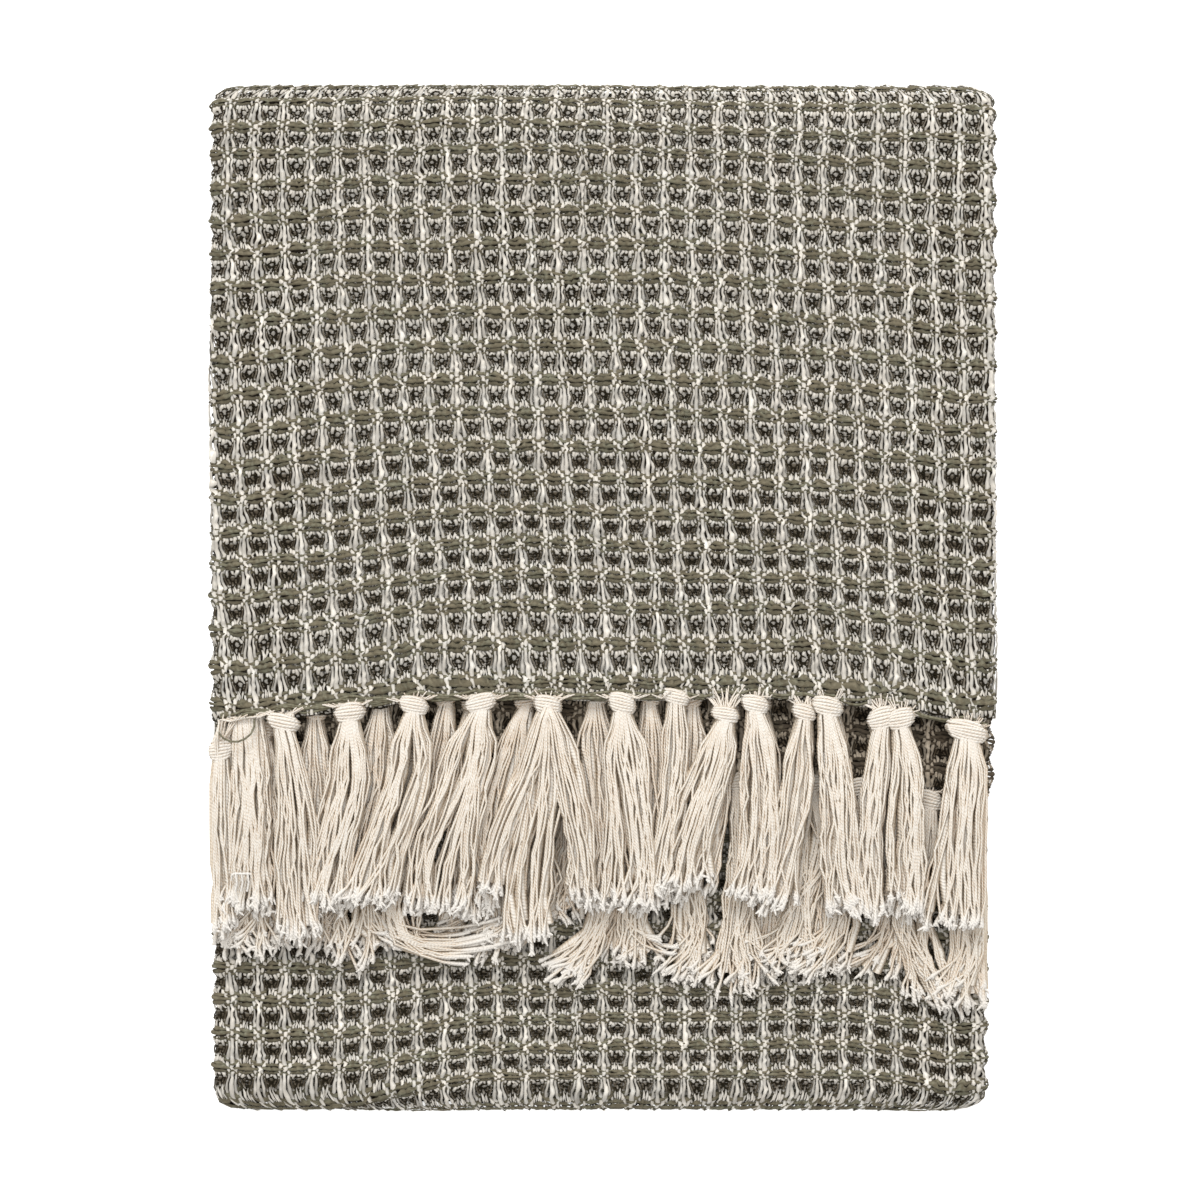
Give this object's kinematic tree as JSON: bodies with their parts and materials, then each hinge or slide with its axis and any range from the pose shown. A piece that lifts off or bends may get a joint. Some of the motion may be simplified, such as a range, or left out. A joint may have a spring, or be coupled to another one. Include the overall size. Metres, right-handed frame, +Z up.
{
  "type": "folded waffle weave cotton blanket",
  "caption": "Cotton throw in olive and cream waffle weave, folded flat into a rectangular stack, with knotted cream tassels along both ends lying over its lower panel.",
  "frame": {"origin": "middle of the folded stack's footprint, on the surface that it lies on", "axes": "+X across the folded width, +Y from the fringed ends towards the thick top fold, +Z up"},
  "size_m": [0.424, 0.55, 0.0538],
  "materials": {
    "waffle_cotton": "deep waffle weave of soft cotton, cream warp and olive weft, matt",
    "fringe_cotton": "loose two-ply cream cotton warp yarn, knotted, with cut ends, matt"
  },
  "bodies": {
    "root": {"blanket_cloth": "waffle_cotton", "fringe_upper": "fringe_cotton", "fringe_lower": "fringe_cotton"}
  },
  "joints": []
}
